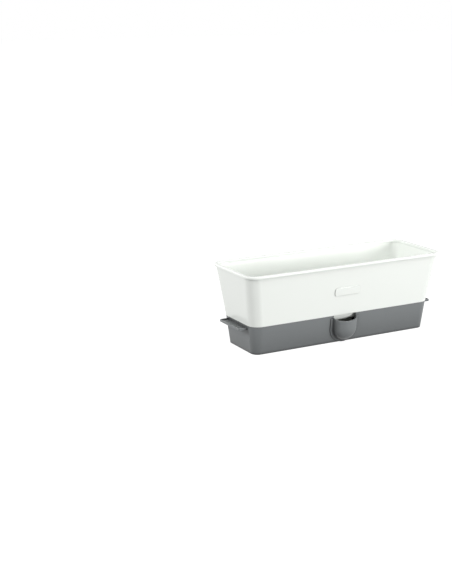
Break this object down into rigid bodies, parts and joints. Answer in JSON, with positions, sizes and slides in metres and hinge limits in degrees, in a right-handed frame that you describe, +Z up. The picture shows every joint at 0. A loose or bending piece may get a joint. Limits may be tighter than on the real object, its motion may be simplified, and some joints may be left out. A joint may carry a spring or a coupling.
{
  "type": "self-watering herb trough",
  "caption": "Long tapered planting trough with a rolled rim, nested on a water tray that has a pouring scoop in front and a lift handle on each end, with felt wicks through its floor.",
  "frame": {"origin": "middle of the tray's underside, on the surface it stands on", "axes": "+X along the trough, -Y towards the side with the scoop, +Z up"},
  "size_m": [0.4, 0.142, 0.142],
  "materials": {
    "tray_plastic": "satin moulded",
    "tub_plastic": "gloss moulded",
    "wick_felt": "pressed felt"
  },
  "bodies": {
    "reservoir": {"reservoir_base": "tray_plastic"},
    "planter": {"planter_tub": "tub_plastic"},
    "wick_left": {"felt_wick_left": "wick_felt"},
    "wick_middle": {"felt_wick_middle": "wick_felt"},
    "wick_right": {"felt_wick_right": "wick_felt"}
  },
  "joints": [
    {"name": "tub_lift", "type": "slide", "parent": "reservoir", "child": "planter", "axis": [0, 0, 1], "range_m": [0, 0.12]},
    {"name": "wick_left_lift", "type": "slide", "parent": "planter", "child": "wick_left", "axis": [0, 0, 1], "range_m": [0, 0.145]},
    {"name": "wick_middle_lift", "type": "slide", "parent": "planter", "child": "wick_middle", "axis": [0, 0, 1], "range_m": [0, 0.145]},
    {"name": "wick_right_lift", "type": "slide", "parent": "planter", "child": "wick_right", "axis": [0, 0, 1], "range_m": [0, 0.145]}
  ]
}
